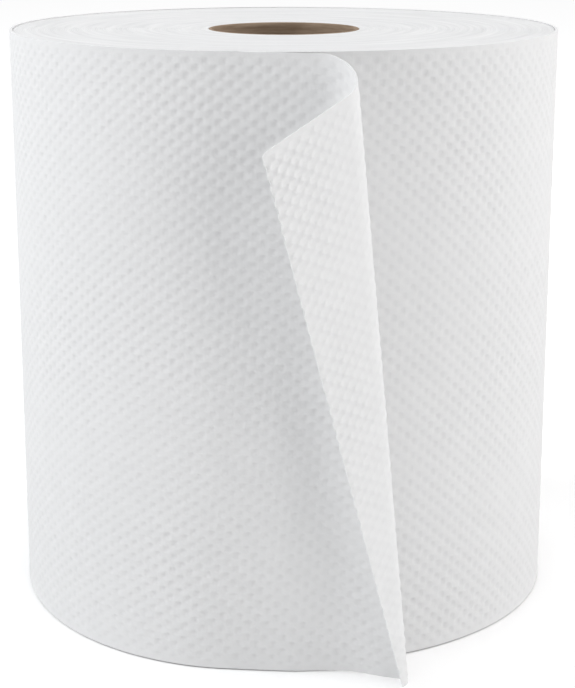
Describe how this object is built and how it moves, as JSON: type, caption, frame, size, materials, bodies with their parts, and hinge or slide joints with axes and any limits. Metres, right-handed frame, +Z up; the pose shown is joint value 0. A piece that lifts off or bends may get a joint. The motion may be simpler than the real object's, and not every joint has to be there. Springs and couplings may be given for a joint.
{
  "type": "paper towel roll",
  "caption": "Wide white roll of embossed paper towel wound on an open cardboard core, standing on end with its loose end curled back, for a towel dispenser or a stand.",
  "frame": {"origin": "on the axis of the core's bore, at the lower end of the roll", "axes": "+Z up along the core; the loose end leaves the roll at the front, on the -Y side; +X to the right of a person who faces the loose end"},
  "size_m": [0.1916, 0.2463, 0.2],
  "materials": {
    "towel_paper": "matt, embossed with small raised dots in a diamond lattice",
    "core_board": "matt brown board, wound from strip"
  },
  "bodies": {
    "root": {"paper_roll": "towel_paper", "core_tube": "core_board"}
  },
  "joints": []
}
